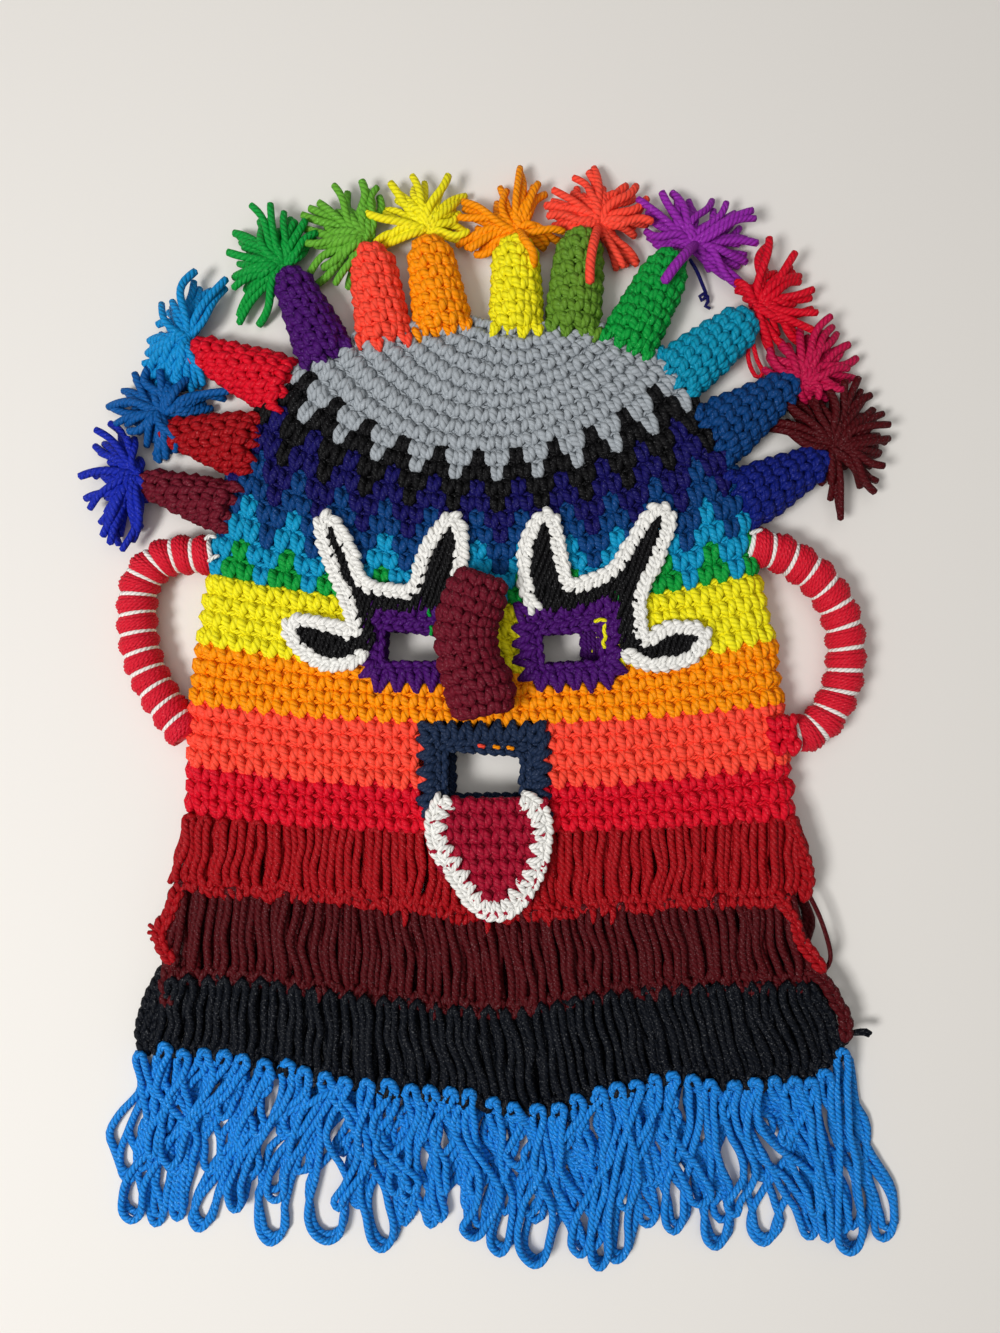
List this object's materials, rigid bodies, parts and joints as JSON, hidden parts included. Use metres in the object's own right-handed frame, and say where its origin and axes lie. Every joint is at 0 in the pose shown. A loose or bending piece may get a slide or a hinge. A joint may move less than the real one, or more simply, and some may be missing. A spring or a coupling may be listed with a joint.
{
  "type": "crocheted hood mask",
  "caption": "Crocheted two-faced hood mask with rainbow stripes, tasselled horns, loop ears, stuffed nose, tongue and a fringe of yarn loops, laid flat.",
  "frame": {"origin": "on the flat underside of the hood's back, on the middle line at the height of the eyes", "axes": "+Z out of the face, +Y towards the crown, +X to the right of the face as seen from the front"},
  "size_m": [0.3895, 0.5163, 0.0413],
  "materials": {
    "stripe_yarn": "matte acrylic yarn, lightly fuzzy",
    "wine_yarn": "matte acrylic yarn, lightly fuzzy",
    "dark_red_yarn": "matte acrylic yarn, lightly fuzzy",
    "red_yarn": "matte acrylic yarn, lightly fuzzy",
    "purple_yarn": "matte acrylic yarn, lightly fuzzy",
    "coral_yarn": "matte acrylic yarn, lightly fuzzy",
    "orange_yarn": "matte acrylic yarn, lightly fuzzy",
    "yellow_yarn": "matte acrylic yarn, lightly fuzzy",
    "olive_yarn": "matte acrylic yarn, lightly fuzzy",
    "green_yarn": "matte acrylic yarn, lightly fuzzy",
    "teal_yarn": "matte acrylic yarn, lightly fuzzy",
    "petrol_yarn": "matte acrylic yarn, lightly fuzzy",
    "navy_yarn": "matte acrylic yarn, lightly fuzzy",
    "royal_blue_yarn": "matte acrylic yarn, lightly fuzzy",
    "sky_blue_yarn": "matte acrylic yarn, lightly fuzzy",
    "light_green_yarn": "matte acrylic yarn, lightly fuzzy",
    "violet_yarn": "matte acrylic yarn, lightly fuzzy",
    "crimson_yarn": "matte acrylic yarn, lightly fuzzy",
    "maroon_yarn": "matte acrylic yarn, lightly fuzzy",
    "black_yarn": "matte acrylic yarn, lightly fuzzy",
    "patch_black": "matte acrylic yarn, lightly fuzzy",
    "white_yarn": "matte acrylic yarn, lightly fuzzy",
    "slate_yarn": "matte acrylic yarn, lightly fuzzy",
    "fringe_blue_yarn": "matte acrylic yarn, lightly fuzzy",
    "ear_yarn": "matte acrylic yarn, lightly fuzzy"
  },
  "bodies": {
    "root": {"hood": "stripe_yarn", "ear_left": "ear_yarn", "ear_right": "ear_yarn", "horn_wine": "wine_yarn", "horn_dark_red": "dark_red_yarn", "horn_red": "red_yarn", "horn_purple": "purple_yarn", "horn_coral": "coral_yarn", "horn_orange": "orange_yarn", "horn_yellow": "yellow_yarn", "horn_olive": "olive_yarn", "horn_green": "green_yarn", "horn_teal": "teal_yarn", "horn_blue": "petrol_yarn", "horn_navy": "navy_yarn", "tassel_royal_blue": "royal_blue_yarn", "tassel_petrol": "petrol_yarn", "tassel_sky_blue": "sky_blue_yarn", "tassel_green": "green_yarn", "tassel_light_green": "light_green_yarn", "tassel_yellow": "yellow_yarn", "tassel_orange": "orange_yarn", "tassel_coral": "coral_yarn", "tassel_purple": "violet_yarn", "tassel_red": "red_yarn", "tassel_crimson": "crimson_yarn", "tassel_maroon": "maroon_yarn", "eye_rim_left": "purple_yarn", "eye_rim_right": "purple_yarn", "mouth_rim": "slate_yarn", "back_eye_rim_left": "purple_yarn", "back_eye_rim_right": "purple_yarn", "back_mouth_rim": "slate_yarn", "eye_patch_left": "patch_black", "eye_edging_left": "white_yarn", "eye_patch_right": "patch_black", "eye_edging_right": "white_yarn", "nose": "wine_yarn", "tongue": "crimson_yarn", "tongue_edging": "white_yarn", "front_loops_dark_red": "dark_red_yarn", "front_loops_maroon": "maroon_yarn", "front_loops_black": "black_yarn", "front_fringe_blue": "fringe_blue_yarn", "back_loops_dark_red": "dark_red_yarn", "back_loops_maroon": "maroon_yarn", "back_loops_black": "black_yarn", "back_fringe_blue": "fringe_blue_yarn"}
  },
  "joints": []
}
